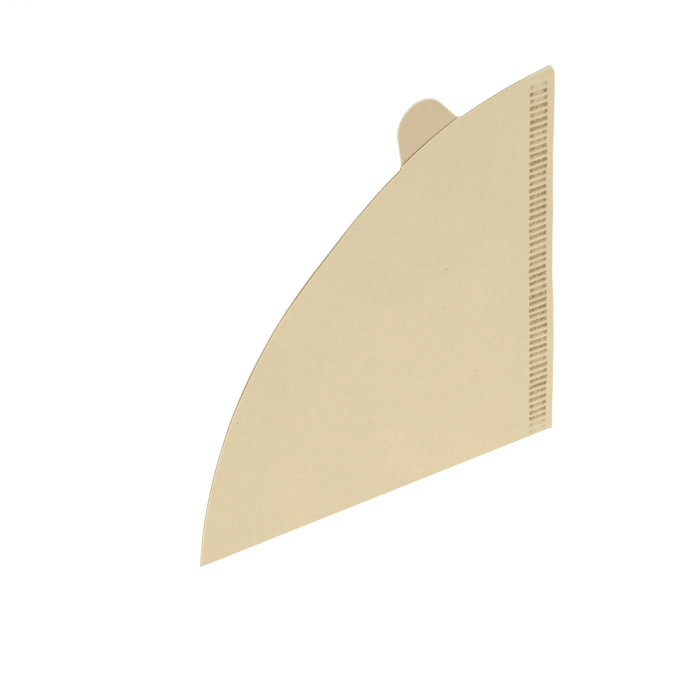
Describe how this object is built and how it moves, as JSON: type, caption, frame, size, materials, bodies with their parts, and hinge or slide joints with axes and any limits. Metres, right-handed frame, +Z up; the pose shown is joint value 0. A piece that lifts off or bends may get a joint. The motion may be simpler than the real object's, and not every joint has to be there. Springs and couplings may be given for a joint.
{
  "type": "paper coffee filter",
  "caption": "Flat-folded cone coffee filter of natural brown paper: a quarter disc of two layers with a fold, a crimped seam and a pull tab on its open arc.",
  "frame": {"origin": "middle of the bounding box's footprint, on the underside the filter lies on", "axes": "+X along the fold towards the cone's tip, +Y along the seam away from the tip, towards the tab, +Z up, out of the front layer"},
  "size_m": [0.145, 0.1486, 0.0014],
  "materials": {
    "brown_paper": "matte"
  },
  "bodies": {
    "root": {"paper_filter": "brown_paper"}
  },
  "joints": []
}
